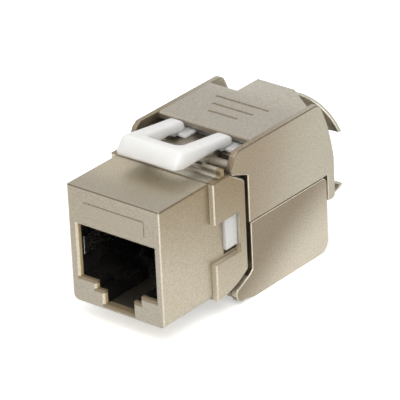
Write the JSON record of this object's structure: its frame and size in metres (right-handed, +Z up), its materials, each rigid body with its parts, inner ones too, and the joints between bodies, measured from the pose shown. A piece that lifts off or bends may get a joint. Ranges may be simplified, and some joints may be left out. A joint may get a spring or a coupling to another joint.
{
  "type": "keystone jack",
  "caption": "Shielded tool-free RJ45 keystone jack: cast nose with plug socket, snap latch on top, and two hinged rear shells ending in half-round cable mouths.",
  "frame": {"origin": "on the middle plane, where the underside of the nose meets the collar's shoulder: the middle of the lower edge of the panel cut-out, at the back of the panel", "axes": "+X across the jack, +Y from the plug socket to the cable mouths, +Z up to the snap latch"},
  "size_m": [0.0162, 0.0371, 0.0223],
  "materials": {
    "nickel_cast": "satin nickel-plated zinc casting",
    "white_plastic": "semi-gloss moulded",
    "black_plastic": "semi-gloss moulded",
    "tan_plastic": "moulded",
    "gold_contact": "gold flash, polished",
    "spring_steel": "bright strip",
    "board_green": "solder mask",
    "tinned_blade": "tinned"
  },
  "bodies": {
    "housing": {"front_housing": "nickel_cast", "jack_insert": "black_plastic", "contact_comb": "tan_plastic", "contact_1": "gold_contact", "contact_2": "gold_contact", "contact_3": "gold_contact", "contact_4": "gold_contact", "contact_5": "gold_contact", "contact_6": "gold_contact", "contact_7": "gold_contact", "contact_8": "gold_contact", "shield_spring_left": "spring_steel", "shield_spring_right": "spring_steel", "circuit_board": "board_green", "terminal_carrier": "white_plastic", "idc_blade_1": "tinned_blade", "idc_blade_2": "tinned_blade", "idc_blade_3": "tinned_blade", "idc_blade_4": "tinned_blade", "idc_blade_5": "tinned_blade", "idc_blade_6": "tinned_blade", "idc_blade_7": "tinned_blade", "idc_blade_8": "tinned_blade"},
    "upper_cover": {"upper_shell": "nickel_cast", "wire_presser_upper": "white_plastic"},
    "lower_cover": {"lower_shell": "nickel_cast", "wire_presser_lower": "white_plastic"},
    "latch": {"latch_lever": "white_plastic"}
  },
  "joints": [
    {"name": "upper_hinge", "type": "hinge", "parent": "housing", "child": "upper_cover", "pos_m": [0, 0.00435, 0.01625], "axis": [1, 0, 0], "range_deg": [0, 75]},
    {"name": "lower_hinge", "type": "hinge", "parent": "housing", "child": "lower_cover", "pos_m": [0, 0.00435, -0.00075], "axis": [-1, 0, 0], "range_deg": [0, 75]},
    {"name": "latch_flex", "type": "hinge", "parent": "housing", "child": "latch", "pos_m": [0, 0.0075, 0.0168], "axis": [1, 0, 0], "range_deg": [0, 7.5], "stiffness_Nm_per_rad": 0.25}
  ],
  "couplings": [
    {"joint": "lower_hinge", "follows": "upper_hinge", "ratio": 1}
  ]
}
